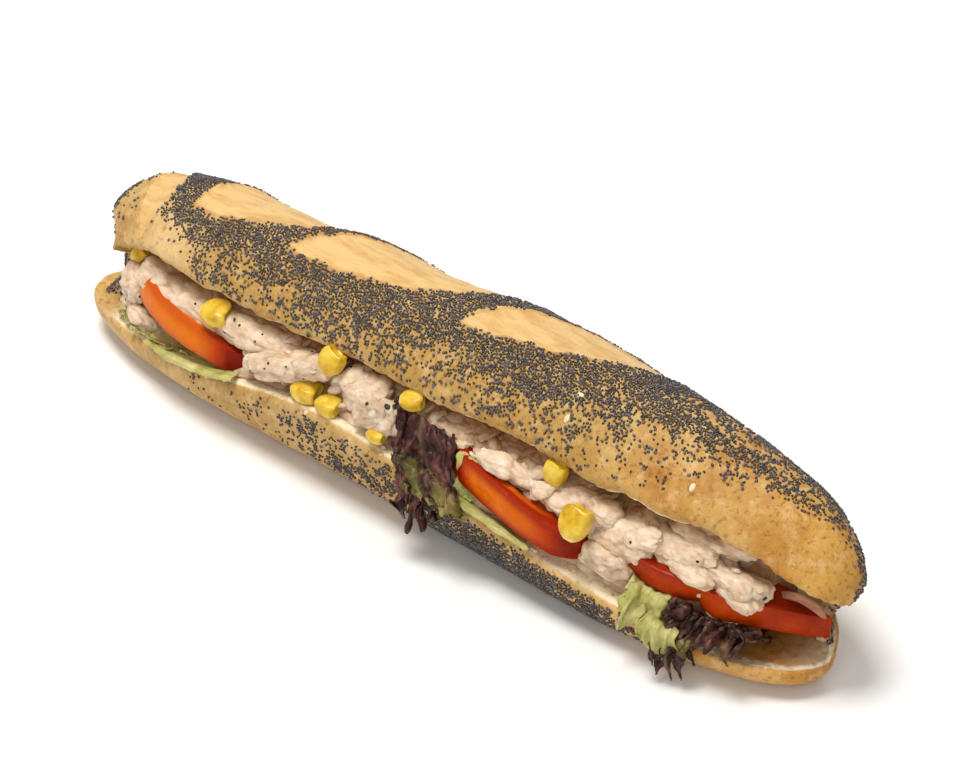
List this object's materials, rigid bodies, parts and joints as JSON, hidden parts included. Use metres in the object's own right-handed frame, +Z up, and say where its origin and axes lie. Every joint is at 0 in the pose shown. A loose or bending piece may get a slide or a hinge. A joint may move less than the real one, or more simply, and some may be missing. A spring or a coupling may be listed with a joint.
{
  "type": "tuna sandwich",
  "caption": "Poppy-seed baguette slit along one side and opened, filled with flaked tuna mayonnaise, sweetcorn, tomato slices, mixed lettuce and onion.",
  "frame": {"origin": "middle of the flat base that the loaf rests on", "axes": "+X along the loaf to its right end as seen from the open side, -Y out of the open mouth, +Z up"},
  "size_m": [0.2742, 0.0665, 0.0616],
  "materials": {
    "crust": "baked golden crust, satin, with dark poppy seeds",
    "tuna": "moist pinkish beige flakes",
    "tomato": "wet orange-red flesh and skin",
    "sweetcorn": "glossy yellow kernels",
    "lettuce": "pale green leaf, waxy",
    "purple_lettuce": "dark purple leaf with green, waxy",
    "onion": "pale pink, wet"
  },
  "bodies": {
    "root": {"bread": "crust", "tuna": "tuna", "tomato_slice_1": "tomato", "tomato_slice_2": "tomato", "tomato_slice_3": "tomato", "tomato_slice_4": "tomato", "lettuce_leaf_left": "lettuce", "lettuce_leaf_middle": "purple_lettuce", "lettuce_rib": "lettuce", "lettuce_leaf_right": "purple_lettuce", "onion_strip": "onion", "sweetcorn_1": "sweetcorn", "sweetcorn_2": "sweetcorn", "sweetcorn_3": "sweetcorn", "sweetcorn_4": "sweetcorn", "sweetcorn_5": "sweetcorn", "sweetcorn_6": "sweetcorn", "sweetcorn_7": "sweetcorn", "sweetcorn_8": "sweetcorn", "sweetcorn_9": "sweetcorn"}
  },
  "joints": []
}
